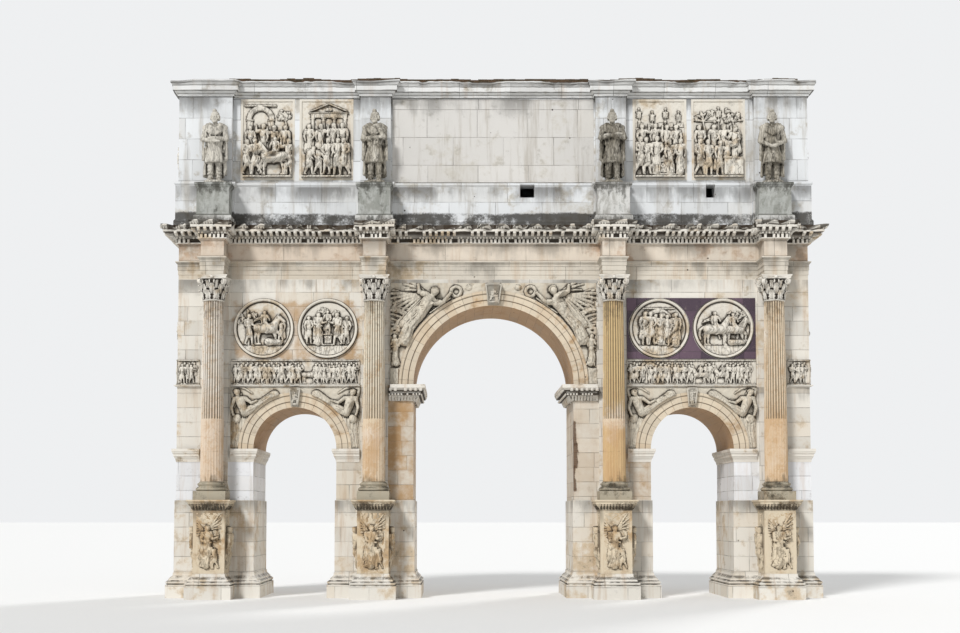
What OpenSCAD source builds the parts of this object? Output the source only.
// Triumphal arch with three passages, four columns on each long side and a hollow attic.
// The origin is at the middle of the arch on the ground, and the front faces -Y.

/* [Passages and piers] */
// Width of the central passage
central_w = 6500; // [5400:50:7800]
// Width of each side passage
side_w = 3360; // [2800:20:4040]
// Width of each of the four piers
pier_w = 3120; // [2600:20:3750]
// Depth of the body between its front and back wall faces
body_d = 4100; // [3400:50:5000]
// Height of the side jambs up to the underside of their imposts
side_jamb_h = 5470; // [4600:10:6600]
// Height of the side imposts
side_impost_h = 530; // [440:10:640]
// Height of the central imposts
central_impost_h = 650; // [540:10:780]
// Radial width of the stone ring round each side passage
side_ring_w = 610; // [500:10:740]
// Radial width of the stone ring round the central passage
central_ring_w = 600; // [500:10:720]

/* [Base courses and pedestals] */
// Height of the plain plinth at the ground
plinth_h = 530; // [440:10:640]
// Height of the mouldings on top of the plinth
base_mould_h = 480; // [400:10:580]
// Height of the plain dado of the pedestals
dado_h = 2510; // [2100:10:3000]
// Height of the cap of the pedestals
pedestal_cap_h = 400; // [330:10:480]
// Width of the pedestals at their dado
pedestal_w = 1250; // [1150:10:1500]

/* [Columns] */
// Diameter of the column shafts at the foot
column_d = 920; // [770:10:1040]
// Height of the moulded column bases
column_base_h = 730; // [610:10:870]
// Height of the leaf capitals
capital_h = 1030; // [860:10:1230]
// Number of flutes round a shaft
flutes = 24; // [16:2:28]
// Gap between a column base and the pilaster behind it
column_gap = 40; // [20:5:200]
// Width of the pilasters behind the columns
pilaster_w = 1240; // [1100:10:1400]
// Projection of the pilasters from the wall
pilaster_out = 100; // [60:5:160]

/* [Wall bands] */
// Height of the figured band over the side passages
band_h = 1040; // [870:10:1250]
// Height of the plain wall over the roundels
plain_band_h = 770; // [640:10:920]
// Plain wall between neighbouring roundels
roundel_gap = 130; // [110:5:160]
// Projection of the figured slabs and roundels from the wall
relief_out = 90; // [70:5:120]

/* [Entablature] */
// Height of the architrave
architrave_h = 730; // [610:10:880]
// Height of the frieze
frieze_h = 670; // [560:10:800]
// Height of the whole cornice over the frieze
cornice_h = 770; // [640:10:920]
// Overhang of the cornice past the walls
cornice_out = 750; // [625:10:900]
// Overhang of the cornice on the blocks over the columns
block_cornice_out = 450; // [375:5:540]
// Distance from one dentil to the next
dentil_pitch = 165; // [140:5:200]
// Distance from one cornice bracket to the next
bracket_pitch = 330; // [275:5:400]

/* [Attic] */
// Height of the attic's lower dado
attic_dado_h = 1770; // [1500:10:2100]
// Height of the attic wall over the dado
attic_wall_h = 3570; // [3000:10:4250]
// Thickness of the attic walls
attic_wall_t = 700; // [600:10:840]
// Height of the attic cornice
attic_cornice_h = 620; // [520:10:740]
// Overhang of the attic cornice
attic_cornice_out = 380; // [320:10:450]
// Height of the brick coping on the roof
coping_h = 380; // [320:10:460]
// Width of the larger window hole in the attic
window_big_w = 590; // [490:10:700]
// Width of the smaller window hole in the attic
window_small_w = 370; // [310:10:440]
// Height of both window holes
window_h = 530; // [440:10:630]
// Height of the statues
statue_h = 3050; // [2600:10:3500]

/* [Hidden] */

// Half sizes of the plan
half_w = central_w / 2 + 2 * pier_w + side_w;
half_d = body_d / 2;
inner_x = central_w / 2 + pier_w / 2;
outer_x = half_w - pier_w / 2;
bay_x = central_w / 2 + pier_w + side_w / 2;
bay_half = side_w / 2 + (pier_w - pilaster_w) / 2;
bay_in = bay_x - bay_half;
bay_out = bay_x + bay_half;
pier_centres = [-outer_x, -inner_x, inner_x, outer_x];

// Heights of the courses
base_top = plinth_h + base_mould_h;
pedestal_top = base_top + dado_h + pedestal_cap_h;
side_spring = side_jamb_h + side_impost_h;
side_r = side_w / 2;
string_h = 90;
string_z = side_spring + side_r + side_ring_w + 210;
band_z = string_z + string_h;
central_spring = band_z;
central_r = central_w / 2;
central_crown = central_spring + central_r + central_ring_w;
band_lip = 35;
end_band_out = 30;
field_z = band_z + band_h + band_lip;
roundel_margin = 80;
roundel_r = (2 * bay_half - 2 * roundel_margin - roundel_gap) / 4;
roundel_x = roundel_r + roundel_gap / 2;
roundel_z = field_z + roundel_r + 5;
field_top = field_z + 2 * roundel_r + 10;
architrave_z = max(central_crown + 460, field_top + plain_band_h);
frieze_z = architrave_z + architrave_h;
dentil_z = frieze_z + frieze_h + 60;
dentil_h = 180;
bracket_z = dentil_z + dentil_h;
ovolo_h = 120;
bracket_h = 140;
corona_z = bracket_z + ovolo_h + bracket_h;
attic_z = frieze_z + frieze_h + cornice_h;
attic_wall_z = attic_z + attic_dado_h;
attic_top = attic_wall_z + attic_wall_h;
roof_z = attic_top + attic_cornice_h;

// Faces of the stone rings in front of the walls
side_ring_out = 110;
central_ring_out = 130;

// Base courses
dado_out = 50;
base_out = 290;

// Columns
column_r = column_d / 2;
column_neck_r = column_r * 0.87;
column_plinth = column_r * 1.39;
column_y = half_d + pilaster_out + column_gap + column_plinth;
shaft_z = pedestal_top + column_base_h;
shaft_h = architrave_z - capital_h - shaft_z;
capital_z = architrave_z - capital_h;
cable_share = 0.345;
fluted_share = 0.978;

// Entablature blocks over the columns
block_half = column_r;
block_y = column_y + column_r;

// Attic
attic_dado_out = 100;
pier_out = 300;
panel_gap = 200;
panel_w = (2 * bay_half - panel_gap - 2 * 310) / 2;
panel_h = attic_wall_h - 200;
panel_z = attic_wall_z + 160;
panel_x = (panel_w + panel_gap) / 2;
recess = 100;
slab_gap = 8;
attic_lip = 60;
statue_block_w = 1300;
statue_block_d = 820;
statue_block_h = 1570;
statue_block_y = half_d + pier_out + attic_dado_out + attic_lip;
statue_y = statue_block_y + statue_block_d / 2;
statue_z = attic_z + statue_block_h;

// Points of an S-shaped moulding from one place to another, as [out, height]
function ogee(o0, z0, o1, z1, n = 5) =
  [for (i = [0:n]) [o0 + (o1 - o0) * (1 - cos(180 * i / n)) / 2, z0 + (z1 - z0) * i / n]];

// Points of a quarter-round that swells outwards
function ovolo(o0, z0, o1, z1, n = 4) =
  [for (i = [0:n]) [o0 + (o1 - o0) * sin(90 * i / n), z0 + (z1 - z0) * (1 - cos(90 * i / n))]];

// Points of a hollow quarter-round
function cavetto(o0, z0, o1, z1, n = 4) =
  [for (i = [0:n]) [o0 + (o1 - o0) * (1 - cos(90 * i / n)), z0 + (z1 - z0) * sin(90 * i / n)]];

// Points of a half-round roll of height h that stands out by r
function roll(o, z, r, h, n = 6) =
  [for (i = [0:n]) [o + r * sin(180 * i / n), z + h * i / n]];

// A profile with its projections multiplied and its heights moved
function scaled(profile, k = 1, dz = 0) = [for (p = profile) [p[0] * k, p[1] + dz]];

// A list in reverse order
function reversed(list) = [for (i = [len(list) - 1:-1:0]) list[i]];

// Plan outline of a course, with a block of half-width bw out to by over each pier centre
function plan(hw, hd, centres, bw, by) = concat(
  [[-hw, -hd]],
  [for (x = centres) each [[x - bw, -hd], [x - bw, -by], [x + bw, -by], [x + bw, -hd]]],
  [[hw, -hd], [hw, hd]],
  [for (x = reversed(centres)) each [[x + bw, hd], [x + bw, by], [x - bw, by], [x - bw, hd]]],
  [[-hw, hd]]);

// The teeth along one edge of a plan, from p to q, with the outside on the right
function edge_teeth(p, q, deep, pitch, share) =
  let (run = norm(q - p), u = (q - p) / run, n = [u[1], -u[0]])
  let (count = floor((run - 2 * deep) / pitch), start = (run - (count - 1 + share) * pitch) / 2)
  concat([p], count < 1 ? [] : [for (i = [0:count - 1]) each
    let (a = p + u * (start + i * pitch), b = a + u * pitch * share)
    [a, a + n * deep, b + n * deep, b]]);

// A plan outline with teeth; edges beyond y = limit get teeth of another depth
function toothed(outline, deep, block_deep, limit, pitch, share) =
  [for (i = [0:len(outline) - 1]) each
    let (p = outline[i], q = outline[(i + 1) % len(outline)])
    let (on_block = max(abs(p[1]), abs(q[1])) > limit)
    edge_teeth(p, q, on_block ? block_deep : deep, pitch, share)];

// A block with a moulding round it: x and y are its faces, and on turns each side's
// moulding on or off, in the order left, right, front, back
module moulded(x, y, profile, on = [1, 1, 1, 1]) {
  over = 1500;
  intersection() {
    translate([x[0] - over, 0, 0]) rotate([90, 0, 90])
      linear_extrude(x[1] - x[0] + 2 * over)
        polygon(concat([for (p = profile) [y[0] - p[0] * on[2], p[1]]],
          [for (p = reversed(profile)) [y[1] + p[0] * on[3], p[1]]]));
    translate([0, y[1] + over, 0]) rotate([90, 0, 0])
      linear_extrude(y[1] - y[0] + 2 * over)
        polygon(concat([for (p = profile) [x[0] - p[0] * on[0], p[1]]],
          [for (p = reversed(profile)) [x[1] + p[0] * on[1], p[1]]]));
  }
}

// A plain block between two corners
module block(x, y, z) {
  translate([x[0], y[0], z[0]]) cube([x[1] - x[0], y[1] - y[0], z[1] - z[0]]);
}

// A solid of the facade's outline, drawn in x and z, that runs from y0 to y1
module facade(y0, y1) {
  translate([0, y1, 0]) rotate([90, 0, 0]) linear_extrude(y1 - y0) children();
}

module front_and_back() {
  children();
  mirror([0, 1, 0]) children();
}

module left_and_right() {
  children();
  mirror([1, 0, 0]) children();
}

// One of the four outer faces' profile at the foot of the piers and pedestals
base_profile = concat(
  [[base_out, 0], [base_out, plinth_h], [base_out - 40, plinth_h]],
  roll(base_out - 70, plinth_h + 20, 60, base_mould_h * 0.3),
  [[base_out - 110, plinth_h + base_mould_h * 0.38]],
  ogee(base_out - 110, plinth_h + base_mould_h * 0.42, 30, plinth_h + base_mould_h * 0.85),
  [[30, base_top], [0, base_top]]);

module pier_base(x) {
  px = [x - pier_w / 2 - dado_out, x + pier_w / 2 + dado_out];
  py = half_d + dado_out;
  union() {
    moulded(px, [-py, py], base_profile);
    moulded([x - pedestal_w / 2, x + pedestal_w / 2],
      [-column_y - pedestal_w / 2, column_y + pedestal_w / 2], base_profile);
  }
}

module pier_bases() {
  color("gainsboro") for (x = pier_centres) pier_base(x);
}

module pier_dados() {
  py = half_d + dado_out;
  color("antiquewhite") for (x = pier_centres)
    block([x - pier_w / 2 - dado_out, x + pier_w / 2 + dado_out], [-py, py],
      [base_top, pedestal_top]);
}

// Pedestal dado with its cap
pedestal_profile = concat(
  [[0, base_top], [0, base_top + dado_h], [30, base_top + dado_h]],
  ogee(30, base_top + dado_h + 30, 170, base_top + dado_h + 230),
  [[190, base_top + dado_h + 230], [190, pedestal_top - 90], [240, pedestal_top - 60],
    [240, pedestal_top]]);

module pedestals() {
  color("wheat") front_and_back() for (x = pier_centres)
    moulded([x - pedestal_w / 2, x + pedestal_w / 2],
      [-column_y - pedestal_w / 2, -half_d - dado_out], pedestal_profile, [1, 1, 1, 0]);
}

module outer_pier() {
  block([outer_x - pier_w / 2, half_w], [-half_d, half_d], [pedestal_top, side_jamb_h]);
}

// The inner pier keeps clear of the side impost and of the central impost
module inner_pier() {
  x0 = central_r;
  x1 = inner_x - pilaster_w / 2;
  x2 = inner_x + pilaster_w / 2;
  x3 = central_r + pier_w;
  facade(-half_d, half_d) polygon([[x0, pedestal_top], [x3, pedestal_top],
    [x3, side_jamb_h], [x2, side_jamb_h], [x2, central_spring],
    [x1, central_spring], [x1, central_spring - central_impost_h],
    [x0, central_spring - central_impost_h]]);
}

module left_outer_pier() {
  color("linen") mirror([1, 0, 0]) outer_pier();
}

module left_inner_pier() {
  color("linen") mirror([1, 0, 0]) inner_pier();
}

module right_inner_pier() {
  color("linen") inner_pier();
}

module right_outer_pier() {
  color("linen") outer_pier();
}

// Profile of an impost of height h that stands out by out
function impost_profile(z, h, out) = concat(
  [[0, z], [out * 0.12, z], [out * 0.12, z + h * 0.12]],
  ogee(out * 0.15, z + h * 0.12, out * 0.5, z + h * 0.42),
  [[out * 0.62, z + h * 0.42], [out * 0.62, z + h * 0.6]],
  ovolo(out * 0.66, z + h * 0.6, out * 0.9, z + h * 0.78),
  [[out, z + h * 0.78], [out, z + h]]);

module side_imposts() {
  profile = impost_profile(side_jamb_h, side_impost_h, 180);
  color("ivory") left_and_right() {
    difference() {
      moulded([outer_x - pier_w / 2, half_w], [-half_d, half_d], profile);
      front_and_back() block([outer_x - pilaster_w / 2, outer_x + pilaster_w / 2],
        [-half_d - 1000, -half_d], [side_jamb_h - 1, side_spring + 1]);
    }
    moulded([inner_x + pilaster_w / 2, central_r + pier_w], [-half_d, half_d], profile,
      [0, 1, 1, 1]);
  }
}

module central_imposts() {
  profile = impost_profile(central_spring - central_impost_h, central_impost_h, 480);
  color("ivory") left_and_right()
    moulded([central_r, inner_x - pilaster_w / 2], [-half_d, half_d], profile, [1, 0, 1, 1]);
}

// Wall over a side passage, round its stone ring
module arch_wall() {
  x0 = inner_x + pilaster_w / 2;
  facade(-half_d, half_d) difference() {
    translate([x0, side_spring]) square([half_w - x0, string_z - side_spring]);
    translate([bay_x, side_spring]) circle(r = side_r + side_ring_w, $fn = 96);
  }
}

module left_arch_wall() {
  color("linen") mirror([1, 0, 0]) arch_wall();
}

module right_arch_wall() {
  color("linen") arch_wall();
}

module left_upper_wall() {
  color("seashell") mirror([1, 0, 0])
    block([bay_in, half_w], [-half_d, half_d], [string_z, architrave_z]);
}

module right_upper_wall() {
  color("seashell") block([bay_in, half_w], [-half_d, half_d], [string_z, architrave_z]);
}

module central_arch_wall() {
  color("linen") facade(-half_d, half_d) difference() {
    translate([-bay_in, central_spring]) square([2 * bay_in, architrave_z - central_spring]);
    translate([0, central_spring]) circle(r = central_r + central_ring_w, $fn = 96);
  }
}

// Half ring of wedge stones, with fasciae and a rim moulding on both faces
module arch_ring(x, z, r, w, out) {
  s = half_d + out;
  front = [[r, s - out * 0.55], [r + w * 0.38, s - out * 0.55], [r + w * 0.38, s - out * 0.3],
    [r + w * 0.78, s - out * 0.3], [r + w * 0.84, s], [r + w, s]];
  translate([x, 0, z]) rotate([90, 0, 0])
    rotate_extrude(angle = 180, $fn = 96)
      polygon(concat(front, [for (p = reversed(front)) [p[0], -p[1]]]));
}

module left_arch_ring() {
  color("whitesmoke") arch_ring(-bay_x, side_spring, side_r, side_ring_w, side_ring_out);
}

module right_arch_ring() {
  color("whitesmoke") arch_ring(bay_x, side_spring, side_r, side_ring_w, side_ring_out);
}

module central_arch_ring() {
  color("whitesmoke") arch_ring(0, central_spring, central_r, central_ring_w, central_ring_out);
}

// Bracket at the crown of an arch: a wedge in front of the ring's face, which is out
// from the wall, and a block over the ring's crown that ties it to the wall
module keystone(x, z0, crown, z1, w0, w1, out, deep) {
  y0 = half_d + out;
  y1 = y0 + deep;
  translate([x, 0, 0]) {
    difference() {
      facade(-y1, -y0)
        polygon([[-w0 / 2, z0], [w0 / 2, z0], [w1 / 2, z1], [-w1 / 2, z1]]);
      translate([-w1, -y1, z0]) rotate([90, 0, 90]) linear_extrude(2 * w1)
        polygon([[-1, -1], [deep * 0.55, -1], [-1, (z1 - z0) * 0.8]]);
    }
    block([-w1 * 0.47, w1 * 0.47], [-y0, -half_d], [crown, z1]);
  }
}

module keystones() {
  color("lightgray") front_and_back() {
    keystone(0, central_spring + central_r + 30, central_crown, central_crown + 290,
      460, 640, central_ring_out, 350);
    for (x = [-bay_x, bay_x])
      keystone(x, side_spring + side_r + 30, side_spring + side_r + side_ring_w,
        string_z - 20, 300, 400, side_ring_out, 170);
  }
}

// Carved slabs that fill the corners over the arches
module central_spandrel() {
  edge = inner_x - pilaster_w / 2;
  facade(-half_d - relief_out, -half_d) difference() {
    translate([-edge, central_spring]) square([2 * edge, central_crown + 330 - central_spring]);
    translate([0, central_spring])
      circle(r = central_r + central_ring_w + slab_gap, $fn = 96);
    translate([-320, central_spring]) square([640, central_crown]);
  }
}

module side_spandrel() {
  facade(-half_d - relief_out, -half_d) difference() {
    translate([bay_in, side_spring]) square([2 * bay_half, string_z - side_spring - 20]);
    translate([bay_x, side_spring]) circle(r = side_r + side_ring_w + slab_gap, $fn = 96);
    translate([bay_x - 200, side_spring]) square([400, string_z]);
  }
}

module central_spandrels() {
  color("tan") front_and_back() central_spandrel();
}

module side_spandrels() {
  color("tan") front_and_back() left_and_right() side_spandrel();
}

// Thin moulding on the walls under the figured bands
string_profile = concat([[0, string_z]], ogee(15, string_z, 110, string_z + 60),
  [[130, string_z + 60], [130, band_z], [0, band_z]]);

module string_courses() {
  color("ivory") left_and_right() {
    front_and_back()
      moulded([bay_in, bay_out], [-half_d - 1, -half_d], string_profile, [0, 0, 1, 0]);
    difference() {
      moulded([bay_out + pilaster_w, half_w], [-half_d, half_d], string_profile, [0, 1, 1, 1]);
      block([0, half_w], [-half_d, half_d], [string_z - 1, band_z + 1]);
    }
  }
}

// Slabs with small figures: one in each side bay, and one round each end of the arch
module figured_bands() {
  color("burlywood") left_and_right() {
    front_and_back()
      block([bay_in, bay_out], [-half_d - relief_out, -half_d], [band_z, band_z + band_h]);
    difference() {
      block([bay_out + pilaster_w, half_w + end_band_out],
        [-half_d - relief_out, half_d + relief_out], [band_z, band_z + band_h]);
      block([0, half_w], [-half_d, half_d], [band_z - 1, band_z + band_h + 1]);
    }
  }
}

// Dark slabs round the roundels of one bay, left on the right front and its opposite
module porphyry_field() {
  facade(-half_d - 40, -half_d) difference() {
    translate([bay_in, field_z]) square([2 * bay_half, field_top - field_z]);
    for (s = [-1, 1]) translate([bay_x + s * roundel_x, roundel_z])
      circle(r = roundel_r + 20, $fn = 96);
  }
}

module porphyry_slabs() {
  color("rosybrown") {
    porphyry_field();
    rotate([0, 0, 180]) porphyry_field();
  }
}

// Round slab with a ring moulding, its back on the plane y = 0
module roundel() {
  rotate([90, 0, 0]) rotate_extrude($fn = 96)
    polygon([[0, 0], [roundel_r, 0], [roundel_r, relief_out],
      [roundel_r - 40, relief_out + 30], [roundel_r - 110, relief_out + 30],
      [roundel_r - 150, relief_out], [roundel_r - 180, relief_out * 0.5],
      [0, relief_out * 0.5]]);
}

module roundels() {
  color("bisque") {
    front_and_back() for (x = [-bay_x, bay_x], s = [-1, 1])
      translate([x + s * roundel_x, -half_d, roundel_z]) roundel();
    left_and_right() translate([half_w, 0, roundel_z]) rotate([0, 0, 90]) roundel();
  }
}

// Flat pilaster with a base and a capital, on the wall behind a column
pilaster_lip = 90;
pilaster_profile = concat(
  [[80, pedestal_top], [80, pedestal_top + column_base_h * 0.48]],
  roll(40, pedestal_top + column_base_h * 0.5, 40, column_base_h * 0.2),
  ogee(40, pedestal_top + column_base_h * 0.72, 0, pedestal_top + column_base_h),
  [[0, capital_z], [30, capital_z], [30, capital_z + 60], [0, capital_z + 60]],
  cavetto(0, capital_z + capital_h * 0.4, 70, capital_z + capital_h * 0.84),
  [[90, capital_z + capital_h * 0.86], [90, architrave_z]]);

module pilasters() {
  half = pilaster_w / 2 - pilaster_lip;
  color("white") front_and_back() for (x = pier_centres)
    moulded([x - half, x + half], [-half_d - pilaster_out, -half_d], pilaster_profile,
      [1, 1, 0, 0]);
}

// Square plinth with two rolls and a hollow between them
module column_base() {
  r = column_plinth;
  h = column_base_h;
  s = column_r;
  translate([-r, -r, 0]) cube([2 * r, 2 * r, h * 0.48]);
  rotate_extrude($fn = 64) polygon(concat([[0, h * 0.4], [r * 0.9, h * 0.4]],
    roll(r * 0.9, h * 0.48, r * 0.1, h * 0.2),
    [[r * 0.88, h * 0.7]],
    [for (i = [1:4]) [r * (0.88 - 0.08 * sin(180 * i / 5)), h * (0.7 + 0.1 * i / 5)]],
    roll(r * 0.84, h * 0.8, r * 0.05, h * 0.12),
    [[s * 1.08, h * 0.92], [s * 1.08, h * 0.97], [s, h], [0, h]]));
}

module column_bases() {
  color("darkgray") front_and_back() for (x = pier_centres)
    translate([x, -column_y, pedestal_top]) column_base();
}

// Outline of a shaft with hollow flutes, or with the flutes filled by round cables
function flute_ring(r, hollow) = [for (i = [0:flutes - 1]) each
  let (a = 360 * i / flutes, w = 360 / flutes, d = r * 0.09)
  let (mid = hollow ? [d * 0.75, d, d * 0.75] : [d * 0.6, d * 0.1, d * 0.6])
  [for (k = [0:4]) let (t = a + w * (0.1 + 0.2 * k), c = k == 0 || k == 4 ? r : r - mid[k - 1])
    [c * cos(t), c * sin(t)]]];

// Shaft: filled flutes in the lower third, hollow ones above, with a slight taper
module column_shaft() {
  low = shaft_h * cable_share;
  linear_extrude(low, scale = 0.99) polygon(flute_ring(column_r, false));
  translate([0, 0, low])
    linear_extrude(shaft_h - low, scale = column_neck_r / (fluted_share * column_r))
      polygon(flute_ring(column_r * fluted_share, true));
}

module column_shafts() {
  color("khaki") front_and_back() for (x = pier_centres)
    translate([x, -column_y, shaft_z]) column_shaft();
}

// A leaf that faces +X in front of a bell of radius r and curls out at the top
module leaf(r, z0, h, w) {
  curl = [[r - 60, z0], [r + 35, z0], [r + 45, z0 + h * 0.55], [r + 95, z0 + h * 0.8],
    [r + 150, z0 + h * 0.86], [r + 160, z0 + h * 0.95], [r + 110, z0 + h],
    [r + 40, z0 + h * 0.94], [r - 60, z0 + h * 0.7]];
  outline = [[-w * 0.4, z0 - 1], [w * 0.4, z0 - 1], [w * 0.5, z0 + h * 0.45],
    [w * 0.36, z0 + h * 0.8], [w * 0.2, z0 + h + 1], [-w * 0.2, z0 + h + 1],
    [-w * 0.36, z0 + h * 0.8], [-w * 0.5, z0 + h * 0.45]];
  intersection() {
    translate([0, w * 0.6, 0]) rotate([90, 0, 0]) linear_extrude(w * 1.2) polygon(curl);
    translate([r - 100, 0, 0]) rotate([90, 0, 90]) linear_extrude(400) polygon(outline);
  }
}

// Leaf capital: bell, two rings of leaves, corner scrolls and a hollow-sided abacus
module capital() {
  n = column_neck_r;
  h = capital_h;
  a = column_r * 1.36;
  slab = h * 0.14;
  rotate_extrude($fn = 48) polygon(concat([[0, 0], [n * 1.06, 0]],
    roll(n * 1.06, 0, 25, 60, 4),
    [[n, 60], [n, h * 0.5]],
    [for (i = [1:4]) [n + n * 0.3 * (1 - cos(90 * i / 4)), h * (0.5 + 0.36 * i / 4)]],
    [[0, h * 0.86]]));
  translate([0, 0, h - slab]) linear_extrude(slab) difference() {
    square(2 * a, center = true);
    for (i = [0:3]) rotate(90 * i) translate([0, a * 2.9]) circle(r = a * 2.05, $fn = 96);
  }
  for (i = [0:7]) {
    rotate([0, 0, 45 * i]) leaf(n, 60, h * 0.36, n * 0.68);
    rotate([0, 0, 22.5 + 45 * i]) leaf(n * 1.03, 60 + h * 0.22, h * 0.4, n * 0.6);
  }
  for (i = [0:3]) rotate([0, 0, 45 + 90 * i]) translate([n * 1.32, 0, h * 0.74])
    rotate([90, 0, 0]) cylinder(r = h * 0.12, h = h * 0.13, center = true, $fn = 24);
}

module column_capitals() {
  color("white") front_and_back() for (x = pier_centres)
    translate([x, -column_y, capital_z]) capital();
}

// A course over the whole plan, with blocks over the columns
module entablature_course(profile, block_share = 1) {
  moulded([-half_w, half_w], [-half_d, half_d], profile);
  for (x = pier_centres)
    moulded([x - block_half, x + block_half], [-block_y, block_y],
      scaled(profile, block_share));
}

// Three stepped fasciae and a crowning moulding
architrave_profile = concat(
  [[0, architrave_z], [0, architrave_z + architrave_h * 0.25],
    [20, architrave_z + architrave_h * 0.25], [20, architrave_z + architrave_h * 0.52],
    [40, architrave_z + architrave_h * 0.52], [40, architrave_z + architrave_h * 0.82]],
  ogee(50, architrave_z + architrave_h * 0.82, 110, architrave_z + architrave_h * 0.94),
  [[120, architrave_z + architrave_h * 0.94], [120, frieze_z]]);

module architrave() {
  color("gainsboro") entablature_course(architrave_profile);
}

frieze_profile = concat([[0, frieze_z], [0, frieze_z + frieze_h]],
  ovolo(0, frieze_z + frieze_h, 60, dentil_z));

module frieze_course() {
  color("mistyrose") entablature_course(frieze_profile);
}

// Plan of the entablature, moved out by o
function entablature_plan(o) =
  plan(half_w + o, half_d + o, pier_centres, block_half + o, block_y + o);

module dentil_course() {
  color("whitesmoke") translate([0, 0, dentil_z]) linear_extrude(dentil_h)
    polygon(toothed(entablature_plan(50), 90, 90, half_d + 200, dentil_pitch, 0.6));
}

// Quarter-round under a row of brackets
bracket_profile = concat([[70, bracket_z]], ovolo(90, bracket_z, 190, bracket_z + ovolo_h));

module bracket_course() {
  teeth = (cornice_out - 190) * 0.6;
  block_teeth = (block_cornice_out - 190) * 0.6;
  color("lightgray") {
    entablature_course(bracket_profile);
    translate([0, 0, bracket_z + ovolo_h]) linear_extrude(bracket_h)
      polygon(toothed(entablature_plan(190), teeth, block_teeth, half_d + 400,
        bracket_pitch, 0.55));
  }
}

// Corona and crowning gutter moulding
function cornice_profile(out) = concat(
  [[out * 0.78, corona_z], [out * 0.78, corona_z + 90], [out * 0.82, corona_z + 90]],
  ogee(out * 0.83, corona_z + 100, out * 0.97, attic_z - 50),
  [[out, attic_z - 50], [out, attic_z]]);

module main_cornice() {
  color("white") {
    moulded([-half_w, half_w], [-half_d, half_d], cornice_profile(cornice_out));
    for (x = pier_centres)
      moulded([x - block_half, x + block_half], [-block_y, block_y],
        cornice_profile(block_cornice_out));
  }
}

// Lower zone of the attic: foot moulding, plain face and top moulding
attic_dado_profile = concat(
  [[attic_dado_out + attic_lip, attic_z], [attic_dado_out + attic_lip, attic_z + 150]],
  ogee(attic_dado_out + attic_lip, attic_z + 150, attic_dado_out, attic_z + 260),
  [[attic_dado_out, attic_wall_z - 160]],
  ogee(attic_dado_out, attic_wall_z - 160, attic_dado_out + attic_lip, attic_wall_z - 60),
  [[attic_dado_out + attic_lip, attic_wall_z]]);
inner_y = half_d - attic_wall_t;
inner_w = half_w - attic_wall_t;
end_pier = [bay_out, half_w];
mid_pier = [inner_x - pilaster_w / 2, inner_x + pilaster_w / 2];

module attic_dado() {
  moulded([-half_w, half_w], [-half_d, -inner_y], attic_dado_profile, [1, 1, 1, 0]);
  left_and_right() for (p = [end_pier, mid_pier])
    moulded(p, [-half_d - pier_out, -inner_y], attic_dado_profile, [1, 1, 1, 0]);
}

// The windows keep a lip under the top moulding
window_z = attic_wall_z - 50 - window_h;
window_big_x = 1395;
window_small_x = bay_x + 840;

module attic_dado_front() {
  color("ghostwhite") difference() {
    attic_dado();
    block([window_big_x - window_big_w / 2, window_big_x + window_big_w / 2],
      [-half_d - 400, -inner_y + 1], [window_z, window_z + window_h]);
    block([window_small_x - window_small_w / 2, window_small_x + window_small_w / 2],
      [-half_d - 400, -inner_y + 1], [window_z, window_z + window_h]);
  }
}

module attic_dado_back() {
  color("ghostwhite") mirror([0, 1, 0]) attic_dado();
}

module attic_dado_ends() {
  color("ghostwhite") left_and_right()
    moulded([inner_w, half_w], [-inner_y, inner_y], attic_dado_profile, [0, 1, 0, 0]);
}

// Attic wall with sunk fields for the reliefs
module attic_wall() {
  difference() {
    block([-half_w, half_w], [-half_d, -inner_y], [attic_wall_z, attic_top]);
    for (x = [-bay_x, bay_x], s = [-1, 1])
      block([x + s * panel_x - panel_w / 2, x + s * panel_x + panel_w / 2],
        [-half_d - 1, -half_d + recess], [panel_z, panel_z + panel_h]);
  }
}

module attic_wall_front() {
  color("snow") attic_wall();
}

module attic_wall_back() {
  color("snow") mirror([0, 1, 0]) attic_wall();
}

module attic_wall_ends() {
  color("snow") left_and_right() difference() {
    block([inner_w, half_w], [-inner_y, inner_y], [attic_wall_z, attic_top]);
    block([half_w - recess, half_w + 1], [-panel_w / 2, panel_w / 2],
      [panel_z, panel_z + panel_h]);
  }
}

module attic_piers() {
  color("white") front_and_back() left_and_right() for (p = [end_pier, mid_pier])
    block(p, [-half_d - pier_out, -half_d], [attic_wall_z, attic_top]);
}

// Relief slab with a raised frame, its back on the plane y = 0
module relief_panel() {
  frame = 90;
  difference() {
    block([-panel_w / 2, panel_w / 2], [-recess, 0], [0, panel_h]);
    block([-panel_w / 2 + frame, panel_w / 2 - frame], [-recess - 1, -recess / 2],
      [frame, panel_h - frame]);
  }
}

module relief_panels() {
  color("tan") {
    front_and_back() for (x = [-bay_x, bay_x], s = [-1, 1])
      translate([x + s * panel_x, -half_d + recess, panel_z]) relief_panel();
    left_and_right() translate([half_w - recess, 0, panel_z])
      rotate([0, 0, 90]) relief_panel();
  }
}

// Bare slab for an inscription
module inscription_slabs() {
  edge = mid_pier[0];
  color("lavender") front_and_back()
    moulded([-edge + 60, edge - 60], [-half_d - 10, -half_d],
      [[0, attic_wall_z + 60], [30, attic_wall_z + 60], [30, attic_wall_z + 90],
        [10, attic_wall_z + 120], [10, attic_top - 120], [30, attic_top - 90],
        [30, attic_top - 60], [0, attic_top - 60]], [0, 0, 1, 0]);
}

// Pedestal of a statue, with a foot and a cap
statue_block_profile = concat(
  [[110, attic_z], [110, attic_z + 180]],
  ogee(110, attic_z + 180, 0, attic_z + 330),
  [[0, statue_z - 240]],
  ogee(0, statue_z - 240, 70, statue_z - 100),
  [[90, statue_z - 100], [90, statue_z]]);

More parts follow.
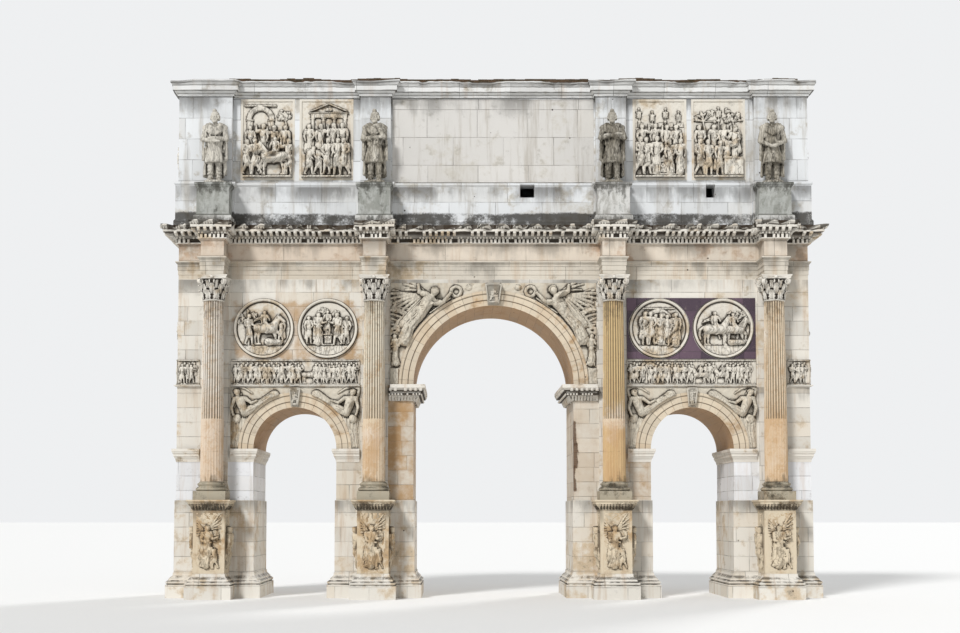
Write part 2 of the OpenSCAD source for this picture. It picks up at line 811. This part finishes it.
module statue_pedestals() {
  half = statue_block_w / 2;
  color("slategray") front_and_back() for (x = pier_centres)
    moulded([x - half, x + half], [-statue_block_y - statue_block_d, -statue_block_y],
      statue_block_profile, [1, 1, 1, 0]);
}

// Standing robed figure with folded arms, a cloak down the back and a soft cap
module statue() {
  scale(statue_h / 3010) {
    cylinder(r = 400, h = 120, $fn = 16);
    for (s = [-1, 1]) hull() {
      translate([150 * s, -40, 120]) cylinder(r = 110, h = 60, $fn = 8);
      translate([130 * s, 0, 1000]) cylinder(r = 150, h = 20, $fn = 8);
    }
    hull() {
      translate([0, 0, 850]) cylinder(r = 320, h = 60, $fn = 12);
      translate([0, 0, 1650]) cylinder(r = 255, h = 60, $fn = 12);
      for (s = [-1, 1]) translate([290 * s, 0, 2300]) sphere(r = 120, $fn = 8);
    }
    hull() {
      translate([0, 110, 2250]) cylinder(r = 290, h = 60, $fn = 10);
      translate([0, 110, 300]) cylinder(r = 300, h = 60, $fn = 10);
    }
    for (s = [-1, 1]) hull() {
      translate([340 * s, 0, 2250]) sphere(r = 90, $fn = 6);
      translate([60 * s, -270, 1850 - 90 * s]) sphere(r = 80, $fn = 6);
    }
    translate([0, 0, 2350]) cylinder(r = 105, h = 200, $fn = 10);
    translate([0, -20, 2680]) sphere(r = 180, $fn = 14);
    translate([0, 10, 2870]) sphere(r = 140, $fn = 10);
  }
}

module statues() {
  color("dimgray") front_and_back() for (x = pier_centres)
    translate([x, -statue_y, statue_z]) statue();
}

attic_cornice_profile = concat(
  [[0, attic_top], [60, attic_top], [60, attic_top + 90]],
  ogee(70, attic_top + 90, 190, attic_top + 230),
  [[attic_cornice_out - 90, attic_top + 250], [attic_cornice_out - 90, roof_z - 220]],
  ogee(attic_cornice_out - 80, roof_z - 210, attic_cornice_out, roof_z - 70),
  [[attic_cornice_out, roof_z]]);

module attic_cornice() {
  color("white") {
    moulded([-half_w, half_w], [-half_d, half_d], attic_cornice_profile);
    left_and_right() for (p = [end_pier, mid_pier])
      moulded(p, [-half_d - pier_out, half_d + pier_out], attic_cornice_profile);
  }
}

module roof_coping() {
  inset = 250;
  color("saddlebrown") block([-half_w + inset, half_w - inset],
    [-half_d + inset, half_d - inset], [roof_z, roof_z + coping_h]);
}

pier_bases();
pier_dados();
pedestals();
left_outer_pier();
left_inner_pier();
right_inner_pier();
right_outer_pier();
side_imposts();
central_imposts();
left_arch_wall();
right_arch_wall();
left_upper_wall();
right_upper_wall();
central_arch_wall();
left_arch_ring();
right_arch_ring();
central_arch_ring();
keystones();
central_spandrels();
side_spandrels();
string_courses();
figured_bands();
porphyry_slabs();
roundels();
pilasters();
column_bases();
column_shafts();
column_capitals();
architrave();
frieze_course();
dentil_course();
bracket_course();
main_cornice();
attic_dado_front();
attic_dado_back();
attic_dado_ends();
attic_wall_front();
attic_wall_back();
attic_wall_ends();
attic_piers();
relief_panels();
inscription_slabs();
statue_pedestals();
statues();
attic_cornice();
roof_coping();
